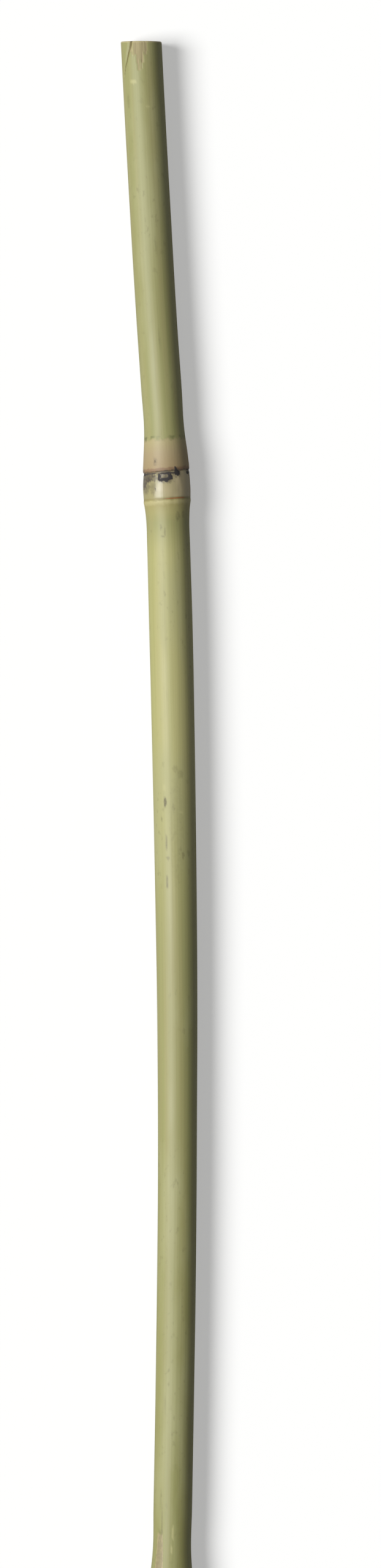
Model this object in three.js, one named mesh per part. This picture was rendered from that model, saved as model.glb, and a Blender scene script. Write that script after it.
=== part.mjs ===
// A bamboo cane: one length of a slim culm, sawn square at both ends, lying flat on its nodes.
// Millimetres, +Z up. The cane runs along Y with its butt cut at +Y, it rests on z = 0, and the
// origin lies under the middle of its bounding box.
import * as THREE from "three";

const LENGTH = 900;
const SIDES = 24; // facets round the culm
const RING_STEP = 17; // longest stretch of bare culm between two rings of the mesh

// Sheath scars, as distances from the butt cut, and the slimmest radius of each internode. The first
// internode and the last are cut short by the saw, and each one is slimmer than the one below it.
const SCARS = [124, 449, 766];
const WAISTS = [5.95, 5.6, 5.3, 5.15];
const WAIST_PLACE = 0.68; // how far up its internode the slimmest place lies

// A node in outline: distance past its scar, and radius as a share of the waist below it. The culm
// flares up to the lip of the scar, steps in under it, swells towards the ridge and draws in again.
const NODE_OUTLINE = [
  [-24, 1.0],
  [-10, 1.004],
  [-8, 1.03],
  [-5, 1.077],
  [-2, 1.117],
  [-0.4, 1.134],
  [0.3, 1.118],
  [3, 1.146],
  [6, 1.165],
  [8.2, 1.154],
  [9.4, 1.152],
  [11.2, 1.11],
  [14.5, 1.066],
  [22, 1.058],
  [42, 1.066],
];
const [CREST, CREST_SHARE] = [6, 1.165]; // the widest place of a node, where the cane touches the ground

// The bow of the culm in plan: distance from the butt, and how far the axis lies to the right there.
// Each internode is nearly straight, and the culm kinks a little at its nodes.
const BOW = [
  [0, 0],
  [41, 2.2],
  [77, 4.3],
  [118, 7],
  [130, 7.45],
  [166, 8.55],
  [210, 9.5],
  [300, 10.6],
  [380, 10],
  [441, 8.9],
  [460, 8.5],
  [600, 7.7],
  [700, 6.7],
  [762, 5.9],
  [784, 5.5],
  [900, 2.9],
];

// The hollow of each end internode is open at the saw cut and closed by the diaphragm of its node.
const BORE_RADIUS = 2.4;
const BORE_STEP = 30;
const DIAPHRAGM_PLACE = 4; // distance past a scar to the middle of the diaphragm
const DIAPHRAGM = 3; // thickness of the diaphragm
const DIAPHRAGM_DISH = 0.8; // how far the middle of the diaphragm is sunk

const rind = new THREE.MeshStandardMaterial({ color: 0xa9a873, roughness: 0.42, metalness: 0 });

// A smooth curve through [place, value] pairs, as a function of place.
function curveThrough(pairs) {
  const places = pairs.map(([place]) => place);
  const values = pairs.map(([, value]) => value);
  const curve = new THREE.CubicInterpolant(places, values, 1);
  return (place) => curve.evaluate(place)[0];
}

// Waists and nodes in turn, from the butt to the far end, as [distance, radius] pairs.
function girthPoints() {
  const points = [[0, WAISTS[0] * 1.008]];
  SCARS.forEach((scar, i) => {
    for (const [past, share] of NODE_OUTLINE) points.push([scar + past, share * WAISTS[i]]);
    const next = SCARS[i + 1];
    if (next) points.push([THREE.MathUtils.lerp(scar, next, WAIST_PLACE), WAISTS[i + 1]]);
  });
  points.push([LENGTH, WAISTS.at(-1) * 1.01]);
  return points;
}

// The axis rises and falls so that the crest of every node touches z = 0.
function liftPoints() {
  return SCARS.map((scar, i) => [scar + CREST, CREST_SHARE * WAISTS[i]]);
}

const girth = curveThrough(girthPoints());
const bow = curveThrough(BOW);
const lift = curveThrough(liftPoints());

// Places between two distances, both included, no further apart than a step.
function spread(from, to, step) {
  const count = Math.ceil(Math.abs(to - from) / step);
  return Array.from({ length: count + 1 }, (_, i) => THREE.MathUtils.lerp(from, to, i / count));
}

// Where the rings of the outer surface lie: every corner of the nodes, and even steps between nodes.
function ringPlaces() {
  const corners = [0];
  for (const scar of SCARS) corners.push(...NODE_OUTLINE.map(([past]) => scar + past));
  corners.push(LENGTH);
  return corners.flatMap((place, i) => (i ? spread(corners[i - 1], place, RING_STEP).slice(1) : [place]));
}

// The wall of a blind bore, from its mouth at a saw cut to the dished diaphragm at its end.
function borePoints(mouth, end) {
  const inward = Math.sign(end - mouth);
  const wall = spread(mouth, end, BORE_STEP).map((place) => [BORE_RADIUS, place]);
  return [...wall, [0, end + inward * DIAPHRAGM_DISH]];
}

// The culm's half outline as [radius, distance from the butt], from the far bore round to the butt bore.
function culmOutline() {
  const outside = ringPlaces().map((place) => [girth(place), place]);
  const buttBore = borePoints(0, SCARS[0] + DIAPHRAGM_PLACE - DIAPHRAGM / 2);
  const farBore = borePoints(LENGTH, SCARS.at(-1) + DIAPHRAGM_PLACE + DIAPHRAGM / 2);
  return [...farBore.reverse(), ...outside.reverse(), ...buttBore];
}

// A straight turned culm, then each vertex moves with the axis at its own distance from the butt.
function culmGeometry() {
  const outline = culmOutline().map(([radius, place]) => new THREE.Vector2(radius, LENGTH / 2 - place));
  const geometry = new THREE.LatheGeometry(outline, SIDES);
  const position = geometry.getAttribute("position");
  for (let i = 0; i < position.count; i++) {
    const place = LENGTH / 2 - position.getY(i);
    position.setX(i, position.getX(i) + bow(place));
    position.setZ(i, position.getZ(i) + lift(place));
  }
  geometry.computeBoundingBox();
  const middle = geometry.boundingBox.getCenter(new THREE.Vector3());
  geometry.translate(-middle.x, 0, -geometry.boundingBox.min.z);
  geometry.computeVertexNormals();
  return geometry;
}

const cane = new THREE.Mesh(culmGeometry(), rind);
cane.name = "cane";

const object = new THREE.Group();
object.add(cane);

export default object;
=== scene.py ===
import math
import random

import bpy
import numpy as np
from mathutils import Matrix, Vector, noise


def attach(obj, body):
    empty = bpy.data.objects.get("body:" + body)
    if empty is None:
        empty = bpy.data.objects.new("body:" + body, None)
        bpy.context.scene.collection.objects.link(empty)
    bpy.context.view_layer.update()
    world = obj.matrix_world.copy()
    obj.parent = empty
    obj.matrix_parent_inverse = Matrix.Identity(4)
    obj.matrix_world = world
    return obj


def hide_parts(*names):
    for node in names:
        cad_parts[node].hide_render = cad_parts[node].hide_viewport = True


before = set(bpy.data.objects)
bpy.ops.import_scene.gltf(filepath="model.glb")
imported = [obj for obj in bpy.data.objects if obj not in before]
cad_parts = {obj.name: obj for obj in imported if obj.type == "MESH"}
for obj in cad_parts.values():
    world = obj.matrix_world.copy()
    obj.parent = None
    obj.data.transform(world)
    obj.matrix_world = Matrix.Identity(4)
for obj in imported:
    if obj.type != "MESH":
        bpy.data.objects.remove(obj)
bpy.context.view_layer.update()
mm = 0.001
print("frame loaded")


def pour(t):
    # smooth step from 0 to 1
    t = min(max(t, 0.0), 1.0)
    return t * t * (3 - 2 * t)


def grain(x, y, z=0.0):
    return noise.noise(Vector((x, y, z)))


def smoothCurve(places, values):
    # a cubic through the points, each slope taken from both neighbours
    places, values = np.array(places), np.array(values)
    slopes = np.gradient(values, places)

    def at(place):
        i = int(np.clip(np.searchsorted(places, place) - 1, 0, len(places) - 2))
        run = places[i + 1] - places[i]
        t = min(max((place - places[i]) / run, 0.0), 1.0)
        keep, leave = 1 - t, t * t * (3 - 2 * t)
        return float(values[i] * (1 - leave) + values[i + 1] * leave
                     + run * t * keep * (slopes[i] * keep - slopes[i + 1] * t))
    return at


def readCulm(mesh):
    # the CAD cane's own rings give the axis and the girth, in mm against the distance from the butt
    stations = {}
    for v in mesh.vertices:
        stations.setdefault(round(v.co.y / mm, 1), []).append(v.co / mm)
    butt = max(stations)
    rings, bores = [], []
    for y, points in stations.items():
        xs, zs = [p.x for p in points], [p.z for p in points]
        girth = (max(xs) - min(xs)) / 2
        ring = (butt - y, (max(xs) + min(xs)) / 2, (max(zs) + min(zs)) / 2, girth)
        if girth > 3.5:
            rings.append(ring)
        elif girth > 1:
            bores.append(ring)
    rings.sort()
    bores.sort()
    places, acrosses, lifts, girths = zip(*rings)
    lips = [a for a, b in zip(places, places[1:]) if b - a < 0.9]  # only a scar's lip has rings this close
    gap = max(range(len(bores) - 1), key=lambda i: bores[i + 1][0] - bores[i][0])
    return dict(
        butt=butt, length=places[-1], across=smoothCurve(places, acrosses), lift=smoothCurve(places, lifts),
        girth=smoothCurve(places, girths), scars=[lip + 0.6 for lip in lips],
        hollow=bores[0][3], floors=(bores[gap][0], bores[gap + 1][0]),
    )


cad = readCulm(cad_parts["cane"].data)
print("culm read from the frame: %.0f mm long, hollow %.1f mm wide" % (cad["length"], 2 * cad["hollow"]))
print("scars at %s" % ["%.1f" % scar for scar in cad["scars"]])

# The culm as a maker would change it. A place is mm from the butt cut, "past" is mm past the nearest scar
# of a sheath, and a turn is degrees round the culm from its top towards +X.
culm = dict(
    sides=128,                # points round the culm
    bareStep=4.0,             # mm between rings where there is nothing to see
    nodeSteps=[               # past the scar from, to, and mm between rings; the first is the whole node
        (-18, 17, 0.6), (-12, 12, 0.3), (-0.9, 1.4, 0.13),
    ],
    closer=[                  # places from, to, and mm between rings, where the wall is torn or scuffed
        (0.22, 11, 0.2), (11, 24, 0.5), (141, 146, 0.5), (208, 250, 0.6), (427, 431, 0.6), (894, 899.78, 0.5),
    ],
    oval=0.012,               # out of round, as a share of the radius
    ovalTwist=210,            # mm along the culm in which the oval turns by half a radian
    waver=0.10,               # mm of slow unevenness in the wall
    waverLength=48,           # mm from one swell to the next
    rim=0.22,                 # mm worn off the sawn edge
)
node = dict(
    lean=0.62,                            # mm that a scar tips out of square
    leanTurns=(90, 215, 330),             # the side towards which each scar tips
    leanFades=26,                         # mm either side of the scar where the tip has died away
    ragged=0.16,                          # mm that the scar's edge wanders
    lipHeight=0.13,                       # mm that the scar's edge stands proud
    gutter=0.09,                          # mm that the wall falls away just past it
    creaseAt=8.45, crease=0.10,           # mm past the scar, and mm deep: the crease under the ridge
    deepWidth=0.26, shallowWidth=0.24,    # mm either side of it, on its deep side and its shallow one
    shallow=0.3,                          # depth of the shallow side, as a share
    ridgeAt=9.35, ridgeWidth=0.4, ridge=0.05,    # mm: the fine line that tops the ridge
    swell=0.05,                           # mm of unevenness between scar and ridge
    scrap=0.07, stain=0.025,              # mm that a scrap of sheath and its stain add
    waxFrom=(-8.9, -5.0, -7.4),           # past each scar, where the waxy band below it starts
    waxWander=(0.5, 0.9, 1.6),            # mm that its edge wanders: even at the first node, then in fingers
    waxFinger=dict(scar=1, turnFrom=-55, turnTo=-27, reach=11.5),    # one long finger, at the second node
)


def nearestScar(place):
    return min(range(len(cad["scars"])), key=lambda i: abs(place - cad["scars"][i]))


def leanAt(place, turn):
    # mm that a point's own ring leans past square near a scar, with a little raggedness at the scar itself
    i = nearestScar(place)
    past = place - cad["scars"][i]
    angle = math.radians(turn)
    fade = 1 - pour(abs(past) / node["leanFades"])
    tip = -math.cos(math.radians(turn - node["leanTurns"][i]))
    ragged = node["ragged"] * grain(math.sin(angle) * 3, math.cos(angle) * 3, i * 7.0)
    return (node["lean"] * tip + ragged * (1 - pour(abs(past) / 4))) * fade


def waxEdge(i, turn):
    # mm past a scar at which the waxy band starts on this side
    edge = node["waxFrom"][i] + node["waxWander"][i] * grain(turn / 14, i * 5.0, 80.0)
    finger = node["waxFinger"]
    if i == finger["scar"]:
        edge -= finger["reach"] * pour((turn - finger["turnFrom"]) / 2) * pour((finger["turnTo"] - turn) / 2)
    return edge


# Scraps of the sheath's foot that still cling under the first scar, and the stains they left:
# turn, mm past the scar, half width in degrees, half height in mm, strength
footScraps = [
    (5, 1.15, 22, 0.34, 0.75), (-17, 2.2, 4.5, 1.3, 0.85), (-4, 2.9, 16, 0.55, 1.0), (9, 2.3, 7, 1.0, 1.0),
    (0, 3.35, 5, 0.5, 0.9), (23.5, 0.5, 3.5, 1.3, 1.0), (29, 1.2, 7, 0.9, 1.0),
    (-28, -2.5, 2.8, 0.5, 0.55), (-28, 5.6, 2.8, 0.6, 0.45), (-50, 0.9, 30, 0.3, 0.6),
]
footStains = [
    (-58, 2.0, 30, 1.5, 1.0), (-72, 3.4, 17, 2.3, 1.0), (-36, 2.2, 14, 1.2, 0.75), (-62, 4.6, 18, 2.2, 0.5),
    (-2, 1.3, 24, 1.1, 0.8), (-3, 2.9, 22, 1.2, 0.6), (26, 1.2, 14, 1.6, 0.5), (-28, -2.4, 6, 1.4, 0.3),
    (-34, 5.2, 10, 2.0, 0.35),
]
# Knocks on the bare wall: turn, place, half width in degrees, half length in mm, strength
scuffs = [
    (-26, 220.6, 4.5, 1.6, 1.0), (-24, 232.2, 2.6, 2.6, 0.75), (-20, 236.9, 5, 0.5, 0.7),
    (-24, 243.8, 3.2, 2.1, 0.75), (-38, 225.5, 3, 0.8, 0.4), (3, 211, 8, 0.8, 0.35), (17, 212.6, 9, 1.4, 0.3),
    (5, 229, 20, 17, 0.13), (22, 236, 4, 1.1, 0.5), (-19, 140.9, 2.5, 0.9, 0.6), (-9, 142.4, 2.4, 1.3, 0.6),
    (-15, 143.6, 5, 0.4, 0.5), (-52, 206, 4, 2, 0.3), (-34, 430, 1.8, 3.6, 0.6), (-50, 17.5, 5, 2.2, 0.3),
    (27, 137.8, 6, 1.3, 0.5), (44, 137.2, 5, 1.1, 0.45), (4, 86, 3, 1.6, 0.35), (-40, 424, 5, 1.4, 0.25),
    (-30, 396, 4, 1.5, 0.25), (10, 60, 4, 1.2, 0.3), (118, 300, 5, 6, 0.5), (-140, 560, 4, 3, 0.6),
    (62, 655, 4, 9, 0.4), (150, 75, 5, 4, 0.5),
]
# Pale rubs where the wax is scratched away, in the same form
rubs = [
    (-28, 11.8, 11, 0.7, 0.6), (9, 19, 6, 0.5, 0.4), (-26, 2.5, 2.2, 2.6, 0.8), (2, 432.5, 3, 2.4, 0.6),
    (-1, 437.5, 3, 1.4, 0.5), (-28, 216.5, 5, 1.2, 0.35), (19, 223.7, 5, 0.4, 0.45), (96, 205, 6, 3, 0.5),
    (-110, 640, 5, 6, 0.4), (170, 520, 4, 8, 0.5),
]


def markCover(spots, turn, place, seed, rough=0.35):
    # how much of a list of oval marks covers a point, their edges broken up by noise
    cover = 0.0
    for at, along, halfTurn, half, strength in spots:
        away = (turn - at + 180) % 360 - 180
        if abs(away) < 2 * halfTurn and abs(place - along) < 2 * half:
            reach = math.hypot(away / halfTurn, (place - along) / half)
            reach += rough * grain(turn / 3.2, place / 0.7, seed)
            cover = max(cover, strength * pour((1.1 - reach) / 0.35))
    return cover


def strayMarks(seed, count, turns, pasts, widths, heights, strengths=(0.45, 0.85)):
    # marks thrown by dice, for the sides where none are listed
    dice = random.Random(seed)
    return [(dice.uniform(*turns), dice.uniform(*pasts), dice.uniform(*widths), dice.uniform(*heights),
             dice.uniform(*strengths)) for _ in range(count)]


scrapsAt = [
    footScraps + strayMarks(3, 8, (60, 290), (0.5, 1.5), (4, 16), (0.25, 0.6)),
    strayMarks(11, 13, (0, 360), (0.5, 1.7), (4, 15), (0.25, 0.6)),
    strayMarks(23, 10, (0, 360), (0.5, 1.4), (4, 14), (0.2, 0.5)),
]
stainsAt = [
    footStains + strayMarks(5, 7, (60, 290), (1.0, 3.0), (14, 36), (0.9, 2.2)),
    strayMarks(13, 10, (0, 360), (1.0, 3.2), (14, 40), (0.8, 2.2), (0.3, 0.65)) + [(-41, -10, 13, 8, 0.4)],
    strayMarks(29, 8, (0, 360), (1.0, 2.8), (12, 34), (0.8, 1.8), (0.3, 0.65)),
]

# What the saw tore at the butt: the skin came away in strips, and a split runs down from the cut
tear = dict(
    end=14,                                   # place beyond which nothing is torn
    turnFrom=-36, turnTo=16, reach=3.9,       # where the strips came away, and mm from the cut
    longFrom=-16, longTo=3, longReach=8.6,    # the longer strips among them
    strip=4.2, stripDice=7,                   # degrees across a strip, and the dice for how far each reaches
    depth=0.16, strand=0.09,                  # mm lost with the skin, and mm of unevenness in its strands
    splitWidth=0.45, splitDepth=0.3,          # mm
    lifted=0.1,                               # mm that the skin beside the split's mouth stands up
)
split = [(-30, 0.0), (-33, 1.4), (-42, 3.7), (-50, 5.8), (-60, 7.8), (-67, 10.4)]  # turn, mm from the cut
stripDice = random.Random(tear["stripDice"])
stripReach = [stripDice.random() for _ in range(23)]  # how far each strip came away, as a share


def tornAt(turn, place):
    # 1 where the saw tore the skin off in strips, 0 where the skin is whole
    if not tear["turnFrom"] - 4 < turn < tear["turnTo"] + 4 or place > tear["longReach"] + 2:
        return 0.0
    strip = stripReach[math.floor(turn / tear["strip"]) % len(stripReach)]
    reach = tear["reach"] * (0.75 + 0.4 * strip)
    if tear["longFrom"] < turn < tear["longTo"]:
        reach = tear["longReach"] * (0.6 + 0.4 * strip)
    sideways = min(turn - tear["turnFrom"], tear["turnTo"] - turn) / 2
    return pour((reach - place) / 0.5 + 0.5) * pour(sideways + 0.5)


def splitAt(turn, place, girth):
    # 1 on the line of the split, fading over its width
    nearest = 9.0
    for (turnA, placeA), (turnB, placeB) in zip(split, split[1:]):
        a = Vector((math.radians(turnA) * girth, placeA))
        b = Vector((math.radians(turnB) * girth, placeB))
        p = Vector((math.radians(turn) * girth, place))
        t = min(max((p - a).dot(b - a) / (b - a).length_squared, 0), 1)
        nearest = min(nearest, (p - a.lerp(b, t)).length)
    width = tear["splitWidth"] * (1.4 - 0.9 * place / split[-1][1])
    return pour((width * 1.6 - nearest) / width)


def buttRelief(turn, place, radius):
    # mm that the tear and the split add to the radius, and how bare the skin is torn
    torn = tornAt(turn, place)
    relief = -torn * (tear["depth"] + tear["strand"] * grain(turn / 2.2, place / 9, 3.0))
    relief -= splitAt(turn, place, radius) * tear["splitDepth"]
    mouth = split[0][0]
    beside = pour((turn - mouth + 14) / 10) * pour((mouth - turn) / 3) * pour((3 - place) / 3)
    return relief + tear["lifted"] * beside, torn


def nodeRelief(i, turn, past):
    # mm that a node's lip, gutter, crease and ridge add to the radius, how deep the crease is, and how tan
    # the girdle between scar and ridge
    angle = math.radians(turn)
    sx, cz = math.sin(angle), math.cos(angle)
    facing = angle - 2.1 * i  # each node shows another side of itself
    lip = node["lipHeight"] * (0.75 + 0.6 * grain(sx * 4, cz * 4, 40 + i))
    relief = lip * pour((past + 0.75) / 0.8) * pour((0.47 - past) / 0.16)
    relief -= node["gutter"] * pour((past - 0.35) / 0.12) * pour((1.45 - past) / 0.8)
    deep = pour(-1.5 + 2.4 * math.cos(facing - 0.36) + 0.4 * grain(sx * 3, cz * 3, 60 + i))
    crease = deep * math.exp(-((past - node["creaseAt"]) / node["deepWidth"]) ** 2)
    shallow = node["shallow"] * math.exp(-((past - node["creaseAt"]) / node["shallowWidth"]) ** 2)
    relief -= node["crease"] * max(crease, shallow)
    relief += node["ridge"] * math.exp(-((past - node["ridgeAt"]) / node["ridgeWidth"]) ** 2)
    relief += node["swell"] * grain(sx * 5, past / 3, cz * 5) * pour(past / 2) * pour((12 - past) / 3)
    around = math.sin(facing) + 0.5 * grain(sx * 2, past / 4, cz * 2)
    tan = pour(0.45 + 0.75 * around) * pour((past - 0.5) / 0.5) * pour((8.6 - past) / 0.8)
    return relief, crease, tan


marks = ("scrap", "stain", "torn", "tan", "crease", "waxFrom", "scuff", "rub")


def wallPoint(ringPlace, turn):
    # one point of the outside: its true place, its radius, and the marks on it
    i = nearestScar(ringPlace)
    place = ringPlace + leanAt(ringPlace, turn)
    past = ringPlace - cad["scars"][i]
    angle = math.radians(turn)
    sx, cz = math.sin(angle), math.cos(angle)
    radius = cad["girth"](ringPlace)
    radius *= 1 + culm["oval"] * math.cos(2 * angle - ringPlace / culm["ovalTwist"])
    radius += culm["waver"] * grain(sx * 0.7, ringPlace / culm["waverLength"], cz * 0.7)
    seen = dict.fromkeys(marks, 0.0)
    seen["waxFrom"] = waxEdge(i, turn)
    seen["scuff"] = markCover(scuffs, turn, place, 25.0)
    seen["rub"] = markCover(rubs, turn, place, 35.0, 0.5)
    nodeFrom, nodeTo, _ = culm["nodeSteps"][0]
    if nodeFrom < past < nodeTo:
        relief, seen["crease"], seen["tan"] = nodeRelief(i, turn, past)
        seen["scrap"] = markCover(scrapsAt[i], turn, past, 5.0 + i)
        seen["stain"] = markCover(stainsAt[i], turn, past, 15.0 + i, 0.5)
        radius += relief + node["scrap"] * seen["scrap"] + node["stain"] * seen["stain"]
    if ringPlace < tear["end"]:
        relief, seen["torn"] = buttRelief(turn, place, radius)
        radius += relief
    fromEnd = min(place, cad["length"] - place)
    worn = 1 - pour(fromEnd / culm["rim"] / 1.01)
    radius -= culm["rim"] * worn * (1 + 0.5 * grain(sx * 6, cz * 6, 9))
    return place, radius, seen


bore = dict(
    depthStep=7.0,    # mm between rings down the hollow
    ragged=0.22,      # mm that its papery wall is out of round
    dish=0.8,         # mm that the diaphragm at its end is sunk
    sawBite=0.05, sawDepth=0.04,   # mm that the saw's marks and its cut as a whole lie in from the rim
)


def boreRadius(place, turn):
    # the papery wall of the hollow, never quite round
    angle = math.radians(turn)
    return cad["hollow"] + bore["ragged"] * grain(math.sin(angle) * 2.4, math.cos(angle) * 2.4, place / 14)


def cutPoint(ringPlace, share, turn):
    # a point of the sawn face, a share of the way from the hollow to the rim
    inner = boreRadius(ringPlace, turn)
    radius = inner + (wallPoint(ringPlace, turn)[1] - inner) * share
    angle = math.radians(turn)
    bite = bore["sawBite"] * grain(radius * math.cos(angle) * 2.5, radius * math.sin(angle) * 0.3, ringPlace)
    inward = 1 if ringPlace < cad["length"] / 2 else -1
    return ringPlace + inward * (abs(bite) + bore["sawDepth"]) * pour(4 * share) * pour(4 - 4 * share), radius


def ringPlaces(strips):
    # where the wall's rings lie: close together where there is something to see, far apart where there isn't
    end, rim = cad["length"], culm["rim"]
    zones = [(0, end, culm["bareStep"]), (0, rim, rim / 2), (end - rim, end, rim / 2)] + culm["closer"]
    for scar in cad["scars"]:
        zones += [(scar + start, scar + stop, step) for start, stop, step in culm["nodeSteps"]]
    knots = {end * k / strips for k in range(strips)}
    knots = sorted(knots.union(*[zone[:2] for zone in zones]))
    places = []
    for start, stop in zip(knots, knots[1:]):
        middle = (start + stop) / 2
        step = min(step for zoneStart, zoneStop, step in zones if zoneStart < middle < zoneStop)
        count = math.ceil((stop - start) / step - 1e-6)
        places += [start + (stop - start) * k / count for k in range(count)]
    return places + [end]


def culmRings(strips):
    # the closed outline, ring by ring: up the butt hollow, over the cut, along the wall, down the far hollow
    def hollow(mouth, floor):
        count = math.ceil(abs(floor - mouth) / bore["depthStep"])
        return [("bore", mouth + (floor - mouth) * k / count, 0.0) for k in range(count + 1)]
    shares = [0.05, 0.16, 0.3, 0.44, 0.58, 0.72, 0.84, 0.93, 0.98]
    end = cad["length"]
    butt = hollow(0.0, cad["floors"][0])[::-1] + [("cut", 0.0, share) for share in shares]
    far = [("cut", end, share) for share in shares[::-1]] + hollow(end, cad["floors"][1])
    return butt + [("wall", place, 1.0) for place in ringPlaces(strips)] + far


def buildCulm(rings):
    sides = culm["sides"]
    points, straight = [], []
    notes = {name: [] for name in ("along",) + marks}

    def addPoint(place, radius, turn, along, seen):
        sideways, up = radius * math.sin(math.radians(turn)), radius * math.cos(math.radians(turn))
        points.append(((cad["across"](place) + sideways) * mm, (cad["butt"] - place) * mm,
                       (cad["lift"](place) + up) * mm))
        straight.append((sideways, place, up))
        notes["along"].append(along)
        for name in marks:
            notes[name].append(seen[name])

    bare = dict.fromkeys(marks, 0.0)
    for part, ringPlace, share in rings:
        for j in range(sides):
            turn = -180 + 360 * j / sides
            place, radius, seen = ringPlace, 0.0, bare
            if part == "wall":
                place, radius, seen = wallPoint(ringPlace, turn)
            elif part == "cut":
                place, radius = cutPoint(ringPlace, share, turn)
            else:
                radius = boreRadius(ringPlace, turn)
            addPoint(place, radius, turn, ringPlace, seen)

    slotOf = dict(wall=0, cut=1, bore=2)
    faces, slots = [], []
    for i, (ringA, ringB) in enumerate(zip(rings, rings[1:])):
        for j in range(sides):
            k = (j + 1) % sides
            faces.append((i * sides + j, (i + 1) * sides + j, (i + 1) * sides + k, i * sides + k))
            slots.append(slotOf[ringA[0] if ringA[0] == ringB[0] else "cut"])
    # both hollows end in the node's diaphragm, a shallow dish
    for ring, sign in ((0, -1), (len(rings) - 1, 1)):
        floor, centre = rings[ring][1], len(points)
        addPoint(floor - sign * bore["dish"], 0.0, 0.0, floor, bare)
        for j in range(sides):
            a, b = ring * sides + j, ring * sides + (j + 1) % sides
            faces.append((centre, a, b) if sign < 0 else (a, centre, b))
            slots.append(slotOf["bore"])

    mesh = bpy.data.meshes.new("bamboo_cane")
    mesh.from_pydata(points, [], faces)
    # where each point would lie if the culm were straight, in mm, so that patterns follow the fibre
    layer = mesh.attributes.new("culm", "FLOAT_VECTOR", "POINT")
    layer.data.foreach_set("vector", np.array(straight, np.float32).ravel())
    for name, values in notes.items():
        mesh.attributes.new(name, "FLOAT", "POINT").data.foreach_set("value", np.array(values, np.float32))
    mesh.polygons.foreach_set("material_index", slots)
    mesh.polygons.foreach_set("use_smooth", [True] * len(faces))
    mesh.update()
    piece = bpy.data.objects.new("bamboo_cane", mesh)
    bpy.context.scene.collection.objects.link(piece)
    print("culm built: %d rings, %d faces" % (len(rings), len(faces)))
    return piece


# How the skin is cut up to lie flat, in shares of the sheet: the wall in strips side by side, then the cuts,
# hollows and floors in the last column, the butt's first
layout = dict(
    strips=5, stripWide=0.177, gap=0.007, low=0.006, high=0.994,
    cutRadius=0.031, cutReach=6.6, cutAt=[(0.962, 0.04), (0.962, 0.115)],   # the reach is mm on the culm
    floorRadius=0.013, floorReach=2.8, floorAt=[(0.945, 0.168), (0.979, 0.168)],
    hollowWide=0.028, hollowLow=0.19, hollowAt=[0.932, 0.966],
)


def unwrapCulm(mesh, rings):
    sides, strips = culm["sides"], layout["strips"]
    floorFrom = (len(rings) - 1) * sides
    stripLong = cad["length"] / strips
    points = [value.vector for value in mesh.attributes["culm"].data]
    flat = mesh.uv_layers.new(name="OFBake").data

    def onDisc(point, centre, radius, reach):
        return centre[0] + point.x / reach * radius, centre[1] + point.z / reach * radius

    for face in mesh.polygons:
        loops = list(face.loop_indices)
        corners = [mesh.loops[loop].vertex_index for loop in loops]
        far = points[corners[0]].y > cad["length"] / 2
        if face.index >= floorFrom:
            centre, radius, reach = layout["floorAt"][far], layout["floorRadius"], layout["floorReach"]
            spots = [onDisc(points[v], centre, radius, reach) for v in corners]
        elif face.material_index == 1:
            centre, radius, reach = layout["cutAt"][far], layout["cutRadius"], layout["cutReach"]
            spots = [onDisc(points[v], centre, radius, reach) for v in corners]
        else:
            seam = face.index % sides == sides - 1
            arounds = [(sides if seam and v % sides == 0 else v % sides) / sides for v in corners]
            alongs = [rings[v // sides][1] for v in corners]
            if face.material_index == 0:
                strip = min(int(sum(alongs) / 4 / stripLong), strips - 1)
                left = layout["gap"] + strip * (layout["stripWide"] + layout["gap"])
                wide, start, long, low = layout["stripWide"], strip * stripLong, stripLong, layout["low"]
            else:
                left, wide, low = layout["hollowAt"][far], layout["hollowWide"], layout["hollowLow"]
                start = cad["length"] if far else 0.0
                long = cad["floors"][far] - start
            tall = layout["high"] - low
            spots = [(left + a * wide, low + (p - start) / long * tall) for a, p in zip(arounds, alongs)]
        for loop, spot in zip(loops, spots):
            flat[loop].uv = spot


rings = culmRings(layout["strips"])
cane = buildCulm(rings)
unwrapCulm(cane.data, rings)
print("skin laid flat")


def hexColour(text):
    # sRGB hex to linear
    parts = [int(text[i:i + 2], 16) / 255 for i in (1, 3, 5)]
    return tuple(c / 12.92 if c <= 0.04045 else ((c + 0.055) / 1.055) ** 2.4 for c in parts) + (1.0,)


def add(tree, kind, links=None, **settings):
    # adds a node with its settings and links, and gives back its first live output
    made = tree.nodes.new("ShaderNode" + kind)
    for name, value in settings.items():
        setattr(made, name, value)
    for name, value in (links or {}).items():
        if isinstance(value, bpy.types.NodeSocket):
            tree.links.new(value, made.inputs[name])
        else:
            made.inputs[name].default_value = value
    return next((socket for socket in made.outputs if socket.enabled), None)


def blankMaterial(name):
    material = bpy.data.materials.new(name)
    material.use_nodes = True
    material.node_tree.nodes.clear()
    return material, material.node_tree


def grownPatterns(tree, space, sizes):
    # patterns drawn out along the fibre, each from its real sizes: mm across, mm along, detail
    patterns = {}
    for name, (width, length, detail) in sizes.items():
        perMm = (1 / width, 1 / length, 1 / width)
        drawn = add(tree, "VectorMath", {0: space, 1: perMm}, operation="MULTIPLY")
        patterns[name] = add(tree, "TexNoise", {"Vector": drawn, "Scale": 1.0, "Detail": detail})
    return patterns


def between(tree, value, edges):
    # 1 from the second edge to the third, fading to 0 at the first and the last
    rise = add(tree, "MapRange", {"Value": value, "From Min": edges[0], "From Max": edges[1]},
               interpolation_type="SMOOTHSTEP")
    fall = add(tree, "MapRange", {"Value": value, "From Min": edges[3], "From Max": edges[2]},
               interpolation_type="SMOOTHSTEP")
    return add(tree, "Math", {0: rise, 1: fall}, operation="MULTIPLY")


def layered(tree, colour, coats):
    # lays each coat over the last where its cover is 1
    for cover, coat in coats:
        colour = add(tree, "Mix", {0: cover, 6: colour, 7: coat}, data_type="RGBA")
    return colour


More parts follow.
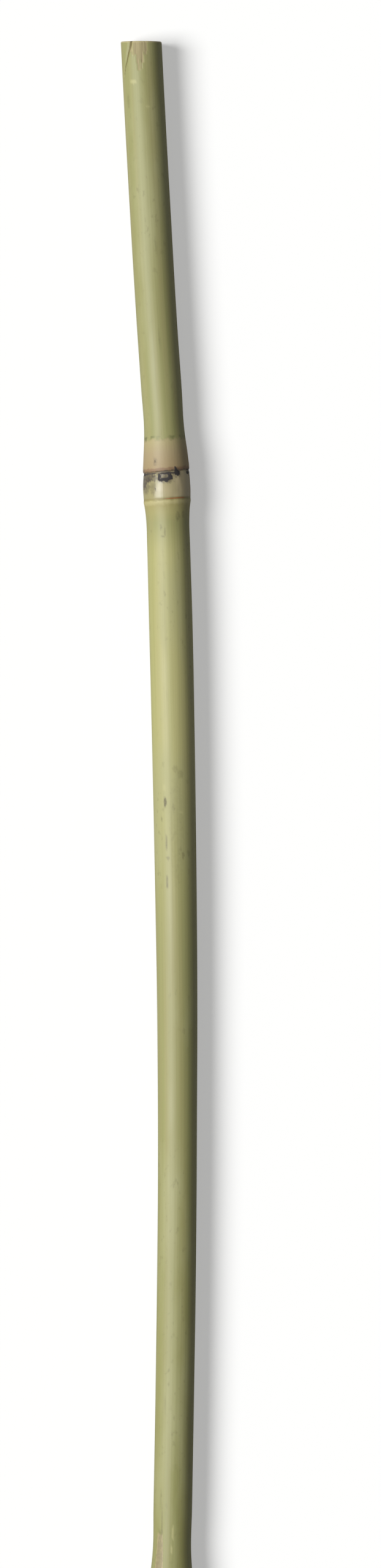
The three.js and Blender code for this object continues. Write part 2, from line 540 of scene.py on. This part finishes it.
rind = dict(
    patterns=dict(
        fibre=(0.5, 70.0, 2.0),      # real fibres lie 0.3 mm apart, drawn a little coarser to show
        streak=(2.2, 160.0, 3.0),    # growth streaks
        bloom=(8.0, 34.0, 4.0),      # where the wax lies thicker
        crumb=(1.0, 1.0, 3.0),       # ragged edges of marks
        dirt=(1.3, 2.6, 3.0),        # specks of soil rubbed into the wax
        strand=(0.4, 10.0, 2.0),     # fibre laid bare by the saw
        blotch=(2.4, 2.4, 2.0),      # mottling along the waxy band
    ),
    green="#8A8A5A", straw="#8F8B5D",                       # the wall, and its streaks
    pale="#A19D6B", palest="#9B9964",                       # the same on young wall, just above a node
    youngPast=(13, 26, 70, 150),          # mm past the scar where it begins, is full, begins to fade and ends
    deeper="#7D7D48", deeperFrom=270.0, deeperTo=420.0, deeperCover=0.5,      # greener up the culm
    bloomed="#98976E", fibreLine="#6F6B40", dirt="#625D3C",  # thick wax, the lines between fibres, soil
    scrap="#2D2A29", scrapEdge="#4B4339", stain="#4C443A", mottle="#474A2B",
    tan="#A69A79", crease="#6F6137", creaseHot="#935431",
    bareFibre="#857A59", bareFibrePale="#9E936D", scuff="#5C5739", rub="#A8A473", rim="#ADA27A",
    split="#6A6038", splitMouth=0.32, splitTip=0.07,        # painted shade along the split, dark olive; half widths of its line, mm
    splitGirth=5.6,                              # mm across it for a radian of turn, its slant allowed for
    roughness=0.55, polished=0.37, torn=0.78,    # satin wax, the bare girdle of a node, torn fibre
    girdle=(0.4, 1.2, 7.6, 8.6),                 # the same four places for the polished girdle
    ior=1.45,                                    # plant wax
    relief=0.07,                                 # mm of fibre and wax standing proud
)
# A node's colours from the waxy band below the scar to the ridge above it, with painted shade in the gutter
# behind the lip: mm past the scar, colour, cover.
# Where the waxy band starts is each node's own.
nodeBand = [
    (-18.0, "#9A9067", 1.0), (-8.0, "#9B9068", 1.0), (-5.0, "#978866", 1.0), (-0.65, "#93815F", 1.0),
    # painted shade: the stop at 0.4 mm, darker than the scar's brown, lies in the gutter behind the lip
    (-0.35, "#826A4F", 1.0), (0.2, "#7C6449", 1.0), (0.4, "#5F4E3A", 1.0),
    (0.7, "#6E6447", 1.0), (1.1, "#8B835F", 1.0), (4.0, "#8F8861", 1.0), (8.0, "#8E875D", 1.0),
    (8.35, "#857B4F", 1.0), (8.75, "#8F8758", 1.0), (9.2, "#A39B6C", 1.0), (9.7, "#A0986A", 1.0),
    (10.4, "#928A5A", 1.0), (12.5, "#938D5C", 0.8), (15.5, "#938D5C", 0.0),
]


def pastScar(tree, along):
    # mm past the nearest scar, worked out for each point so that it jumps cleanly between two nodes
    scars = cad["scars"]
    past = add(tree, "Math", {0: along, 1: scars[0]}, operation="SUBTRACT")
    for below, above in zip(scars, scars[1:]):
        beyond = add(tree, "Math", {0: along, 1: (below + above) / 2}, operation="GREATER_THAN")
        nextPast = add(tree, "Math", {0: along, 1: above}, operation="SUBTRACT")
        past = add(tree, "Mix", {0: beyond, 2: past, 3: nextPast})
    return past


def bareWall(tree, along, past, pattern):
    # green and straw streaks under uneven wax, paler above each node and deeper up the culm
    streaked = add(tree, "MapRange", {"Value": pattern["streak"], "From Min": 0.36, "From Max": 0.64})
    bloomed = add(tree, "MapRange", {"Value": pattern["bloom"], "From Min": 0.48, "From Max": 0.75,
                                     "To Max": 0.8})
    lined = add(tree, "MapRange", {"Value": pattern["fibre"], "From Min": 0.3, "From Max": 0.7,
                                   "To Max": 0.16})
    specked = add(tree, "MapRange", {"Value": pattern["dirt"], "From Min": 0.6, "From Max": 0.72,
                                     "To Max": 0.3})
    inPatches = add(tree, "MapRange", {"Value": pattern["bloom"], "From Min": 0.42, "From Max": 0.6})
    specked = add(tree, "Math", {0: specked, 1: inPatches}, operation="MULTIPLY")
    upTheCulm = add(tree, "MapRange", {"Value": along, "From Min": rind["deeperFrom"],
                                       "From Max": rind["deeperTo"], "To Max": rind["deeperCover"]})
    young = layered(tree, hexColour(rind["pale"]), [(streaked, hexColour(rind["palest"]))])
    return layered(tree, hexColour(rind["green"]), [
        (streaked, hexColour(rind["straw"])),
        (between(tree, past, rind["youngPast"]), young),
        (upTheCulm, hexColour(rind["deeper"])),
        (bloomed, hexColour(rind["bloomed"])),
        (lined, hexColour(rind["fibreLine"])),
        (specked, hexColour(rind["dirt"])),
    ])


def nodeColours(tree, past):
    # the bands of a node, as a ramp whose alpha says how far they cover the wall
    low, high = nodeBand[0][0], nodeBand[-1][0]
    share = add(tree, "MapRange", {"Value": past, "From Min": low, "From Max": high})
    ramp = add(tree, "ValToRGB", {"Fac": share}).node
    stops = ramp.color_ramp.elements
    for place, text, cover in nodeBand[1:-1]:
        stops.new((place - low) / (high - low))
    for stop, (place, text, cover) in zip(stops, nodeBand):
        stop.color = hexColour(text)[:3] + (cover,)
    return ramp.outputs["Color"], ramp.outputs["Alpha"]


def splitCrackAndShade(tree, space):
    # the split's own line, thinning from its mouth to its tip; it carries the shade painted into the crack
    # and sinks the bump there
    parts = add(tree, "SeparateXYZ", {0: space}).node.outputs
    turn = add(tree, "Math", {0: parts["X"], 1: parts["Z"]}, operation="ARCTAN2")
    end = split[-1][1]
    share = add(tree, "MapRange", {"Value": parts["Y"], "From Min": 0.0, "From Max": end})
    path = add(tree, "FloatCurve", {"Value": share}).node
    bends = path.mapping.curves[0].points
    for turnAt, place in split[1:-1]:
        bends.new(place / end, 0.0)
    for point, (turnAt, place) in zip(bends, split):
        point.location = (place / end, 1 + math.radians(turnAt) / 2)  # the curve holds heights from 0 to 1
        point.handle_type = "AUTO"
    path.mapping.update()
    course = add(tree, "MapRange", {"Value": path.outputs[0], "To Min": -2.0, "To Max": 0.0})
    off = add(tree, "Math", {0: turn, 1: course}, operation="SUBTRACT")
    off = add(tree, "Math", {0: off, 1: rind["splitGirth"]}, operation="MULTIPLY")
    off = add(tree, "Math", {0: off}, operation="ABSOLUTE")
    width = add(tree, "MapRange", {"Value": parts["Y"], "From Min": 0.0, "From Max": end,
                                   "To Min": rind["splitMouth"], "To Max": rind["splitTip"]})
    off = add(tree, "Math", {0: off, 1: width}, operation="DIVIDE")
    line = add(tree, "MapRange", {"Value": off, "From Min": 1.2, "From Max": 0.7})
    short = add(tree, "Math", {0: parts["Y"], 1: end}, operation="LESS_THAN")
    return add(tree, "Math", {0: line, 1: short}, operation="MULTIPLY")


def waxedCulmRind():
    # Air-dried culm rind, waxed by the plant: a hard satin skin whose light is one soft milky band
    material, tree = blankMaterial("waxedCulmRind")
    space = add(tree, "Attribute", attribute_name="culm").node.outputs["Vector"]
    mark = {}
    for name in ("along",) + marks:
        mark[name] = add(tree, "Attribute", attribute_name=name).node.outputs["Fac"]
    pattern = grownPatterns(tree, space, rind["patterns"])

    # the node's edges wander by half a millimetre
    past = pastScar(tree, mark["along"])
    wander = add(tree, "MapRange", {"Value": pattern["crumb"], "To Min": -0.5, "To Max": 0.5})
    raggedPast = add(tree, "Math", {0: past, 1: wander}, operation="ADD")
    bandColour, bandCover = nodeColours(tree, raggedPast)
    intoWax = add(tree, "Math", {0: raggedPast, 1: mark["waxFrom"]}, operation="SUBTRACT")
    waxed = add(tree, "MapRange", {"Value": intoWax, "From Min": -0.3, "From Max": 0.4})
    bandCover = add(tree, "Math", {0: bandCover, 1: waxed}, operation="MULTIPLY")

    # dark mottling follows the edge of the waxy band
    blotched = add(tree, "MapRange", {"Value": pattern["blotch"], "From Min": 0.44, "From Max": 0.64,
                                      "To Max": 0.6})
    alongEdge = between(tree, intoWax, (-1.2, -0.5, 0.3, 0.8))
    belowScar = between(tree, past, (-10.6, -10.2, -3.0, -2.0))
    mottled = add(tree, "Math", {0: blotched, 1: alongEdge}, operation="MULTIPLY")
    mottled = add(tree, "Math", {0: mottled, 1: belowScar}, operation="MULTIPLY")

    # scraps of sheath go dark where they are thick and brown at their thin edges
    frayed = add(tree, "Math", {0: wander, 1: 0.6, 2: mark["scrap"]}, operation="MULTIPLY_ADD")
    scrapCover = add(tree, "MapRange", {"Value": frayed, "From Min": 0.2, "From Max": 0.6})
    scrapThick = add(tree, "MapRange", {"Value": frayed, "From Min": 0.4, "From Max": 0.85})
    scrapColour = layered(tree, hexColour(rind["scrapEdge"]), [(scrapThick, hexColour(rind["scrap"]))])
    soaked = add(tree, "MapRange", {"Value": pattern["crumb"], "From Min": 0.3, "From Max": 0.6,
                                    "To Min": 0.6})
    stained = add(tree, "Math", {0: mark["stain"], 1: soaked}, operation="MULTIPLY")

    # the crease is rust red where it is deepest
    hot = add(tree, "MapRange", {"Value": mark["crease"], "From Min": 0.5, "From Max": 0.8})
    creased = layered(tree, hexColour(rind["crease"]), [(hot, hexColour(rind["creaseHot"]))])

    # knocks, torn fibre, the split with the shade painted into it, and the worn rim
    thinly = add(tree, "MapRange", {"Value": pattern["crumb"], "From Min": 0.3, "From Max": 0.65,
                                    "To Min": 0.45})
    scuffed = add(tree, "Math", {0: mark["scuff"], 1: thinly}, operation="MULTIPLY")
    strands = add(tree, "MapRange", {"Value": pattern["strand"], "From Min": 0.35, "From Max": 0.65})
    bared = layered(tree, hexColour(rind["bareFibre"]), [(strands, hexColour(rind["bareFibrePale"]))])
    cleftAndShade = splitCrackAndShade(tree, space)
    worn = add(tree, "MapRange", {"Value": mark["along"], "From Min": 0.45, "From Max": 0.2})
    colour = layered(tree, bareWall(tree, mark["along"], past, pattern), [
        (bandCover, bandColour),
        (mark["tan"], hexColour(rind["tan"])),
        (mark["crease"], creased),
        (mottled, hexColour(rind["mottle"])),
        (stained, hexColour(rind["stain"])),
        (scrapCover, scrapColour),
        (mark["torn"], bared),
        (scuffed, hexColour(rind["scuff"])),
        (mark["rub"], hexColour(rind["rub"])),
        (worn, hexColour(rind["rim"])),
        # painted shade: the crack darkened along its line
        (cleftAndShade, hexColour(rind["split"])),
    ])

    satin = add(tree, "MapRange", {"Value": pattern["bloom"], "From Min": 0.3, "From Max": 0.7,
                                   "To Min": rind["roughness"] - 0.05, "To Max": rind["roughness"] + 0.07})
    gloss = add(tree, "Mix", {0: between(tree, past, rind["girdle"]), 2: satin, 3: rind["polished"]})
    rough = add(tree, "Math", {0: mark["scrap"], 1: mark["torn"]}, operation="MAXIMUM")
    gloss = add(tree, "Mix", {0: rough, 2: gloss, 3: rind["torn"]})

    # fine ribs along the fibre, and coarse ones where it is torn bare
    ribs = add(tree, "Math", {0: pattern["fibre"], 1: 0.3}, operation="MULTIPLY")
    relief = add(tree, "Math", {0: pattern["bloom"], 1: ribs}, operation="ADD")
    coarse = add(tree, "Math", {0: pattern["strand"], 1: mark["torn"]}, operation="MULTIPLY")
    relief = add(tree, "Math", {0: relief, 1: coarse}, operation="ADD")
    relief = add(tree, "Math", {0: relief, 1: cleftAndShade}, operation="SUBTRACT")
    bump = add(tree, "Bump", {"Height": relief, "Distance": rind["relief"] * mm, "Strength": 1.0})
    surface = add(tree, "BsdfPrincipled", {"Base Color": colour, "Roughness": gloss, "Normal": bump,
                                           "IOR": rind["ior"]})
    add(tree, "OutputMaterial", {"Surface": surface})
    return material


cutWood = dict(
    pale="#D2C195", dull="#BDA97B", bundle="#7A6040", skin="#8A8452",
    closeBundles=0.32, wideBundles=0.58,   # mm between fibre bundles, under the skin and further in
    wideWithin=3.9, closeBeyond=4.7,       # mm from the middle
    skinFrom=5.55, skinTo=5.85,
    kerf=0.45,                             # mm between saw marks
    roughness=0.8, ior=1.5, relief=0.08,   # cellulose; mm of relief
)


def sawnCulmWood():
    # Sawn culm wood, end grain: pale and matt, peppered with the dark ends of its fibre bundles
    material, tree = blankMaterial("sawnCulmWood")
    space = add(tree, "Attribute", attribute_name="culm").node.outputs["Vector"]
    parts = add(tree, "SeparateXYZ", {0: space}).node.outputs
    flat = add(tree, "CombineXYZ", {"X": parts["X"], "Y": parts["Z"]})
    radius = add(tree, "VectorMath", {0: flat}, operation="LENGTH").node.outputs["Value"]
    close = add(tree, "TexVoronoi", {"Vector": flat, "Scale": 1 / cutWood["closeBundles"]},
                voronoi_dimensions="2D")
    wide = add(tree, "TexVoronoi", {"Vector": flat, "Scale": 1 / cutWood["wideBundles"]},
               voronoi_dimensions="2D")
    outer = add(tree, "MapRange", {"Value": radius, "From Min": cutWood["wideWithin"],
                                   "From Max": cutWood["closeBeyond"]})
    spacing = add(tree, "Mix", {0: outer, 2: wide, 3: close})
    bundle = add(tree, "MapRange", {"Value": spacing, "From Min": 0.42, "From Max": 0.24, "To Max": 0.75})
    sawn = add(tree, "VectorMath", {0: flat, 1: (0.25, 1 / cutWood["kerf"], 0.0)}, operation="MULTIPLY")
    kerf = add(tree, "TexNoise", {"Vector": sawn, "Scale": 1.0, "Detail": 3.0})
    skin = add(tree, "MapRange", {"Value": radius, "From Min": cutWood["skinFrom"],
                                  "From Max": cutWood["skinTo"]})
    colour = layered(tree, hexColour(cutWood["pale"]), [
        (kerf, hexColour(cutWood["dull"])), (bundle, hexColour(cutWood["bundle"])),
        (skin, hexColour(cutWood["skin"])),
    ])
    bump = add(tree, "Bump", {"Height": kerf, "Distance": cutWood["relief"] * mm, "Strength": 1.0})
    surface = add(tree, "BsdfPrincipled", {"Base Color": colour, "Roughness": cutWood["roughness"],
                                           "Normal": bump, "IOR": cutWood["ior"]})
    add(tree, "OutputMaterial", {"Surface": surface})
    return material


pith = dict(
    patterns=dict(flake=(0.6, 8.0, 4.0)),   # mm across a flake, and along it
    pale="#A89468", dusty="#7D6744", roughness=0.9, ior=1.5, relief=0.15,
)


def dryPithLining():
    # Papery pith lining the hollow, dried in the culm: thin, matt and browned by dust
    material, tree = blankMaterial("dryPithLining")
    space = add(tree, "Attribute", attribute_name="culm").node.outputs["Vector"]
    flake = grownPatterns(tree, space, pith["patterns"])["flake"]
    colour = layered(tree, hexColour(pith["pale"]), [(flake, hexColour(pith["dusty"]))])
    bump = add(tree, "Bump", {"Height": flake, "Distance": pith["relief"] * mm, "Strength": 1.0})
    surface = add(tree, "BsdfPrincipled", {"Base Color": colour, "Roughness": pith["roughness"],
                                           "Normal": bump, "IOR": pith["ior"]})
    add(tree, "OutputMaterial", {"Surface": surface})
    return material


for material in (waxedCulmRind(), sawnCulmWood(), dryPithLining()):
    cane.data.materials.append(material)
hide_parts("cane")
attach(cane, "root")
print("culm finished in rind, cut wood and pith")

# The studio: a pale floor, one broad soft light from the left, and a camera looking straight down
studio = dict(
    floorColour="#F1F1F0", floorGlow=0.45, floorBounce="#A3A3A1", floorSize=12.0,    # m across
    lightHeight=50.0, lightSpread=30.0, lightPower=4.7,   # degrees up from the left, degrees across, W/m2
    sky=0.13, skySeen=1.25,                               # what it lights with, and how bright it looks
    lens=400.0, distance=5.056,        # mm, and m above the cane: a lens so long that nothing leans
    aimAcross=14.35, aimAlong=215.4,   # mm from the middle of the butt cut to the middle of the view
)


def makeFloor():
    # matt paper over a light table: its glow thins the shadow, and it sends less light up than the eye sees
    bpy.ops.mesh.primitive_plane_add(size=studio["floorSize"])
    floor = bpy.context.object
    floor.name = "floor"
    material, tree = blankMaterial("mattPaper")
    paper = add(tree, "BsdfDiffuse", {"Color": hexColour(studio["floorColour"])})
    glow = add(tree, "Emission", {"Color": hexColour(studio["floorColour"]), "Strength": 1.0})
    seen = add(tree, "MixShader", {0: studio["floorGlow"], 1: paper, 2: glow})
    dull = add(tree, "BsdfDiffuse", {"Color": hexColour(studio["floorBounce"])})
    toEye = add(tree, "LightPath").node.outputs["Is Camera Ray"]
    add(tree, "OutputMaterial", {"Surface": add(tree, "MixShader", {0: toEye, 1: dull, 2: seen})})
    floor.data.materials.append(material)


def makeLight():
    lamp = bpy.data.lights.new("softbox", "SUN")
    lamp.energy = studio["lightPower"]
    lamp.angle = math.radians(studio["lightSpread"])
    light = bpy.data.objects.new("softbox", lamp)
    bpy.context.scene.collection.objects.link(light)
    light.rotation_euler = (0, math.radians(studio["lightHeight"] - 90), 0)


def makeRoom():
    world = bpy.data.worlds.new("paleRoom")
    bpy.context.scene.world = world
    world.use_nodes = True
    world.node_tree.nodes.clear()
    toEye = add(world.node_tree, "LightPath").node.outputs["Is Camera Ray"]
    dim = add(world.node_tree, "Background", {"Strength": studio["sky"]})
    seen = add(world.node_tree, "Background", {"Strength": studio["skySeen"]})
    both = add(world.node_tree, "MixShader", {0: toEye, 1: dim, 2: seen})
    add(world.node_tree, "OutputWorld", {"Surface": both})


def makeCamera():
    camera = bpy.data.cameras.new("camera")
    camera.lens = studio["lens"]
    camera.sensor_width = 36
    camera.clip_end = 50
    eye = bpy.data.objects.new("camera", camera)
    bpy.context.scene.collection.objects.link(eye)
    eye.location = ((cad["across"](0) + studio["aimAcross"]) * mm, (cad["butt"] - studio["aimAlong"]) * mm,
                    cad["lift"](0) * mm + studio["distance"])
    bpy.context.scene.camera = eye


makeFloor()
makeLight()
makeRoom()
makeCamera()
bpy.context.scene.view_settings.view_transform = "Standard"
print("studio ready")
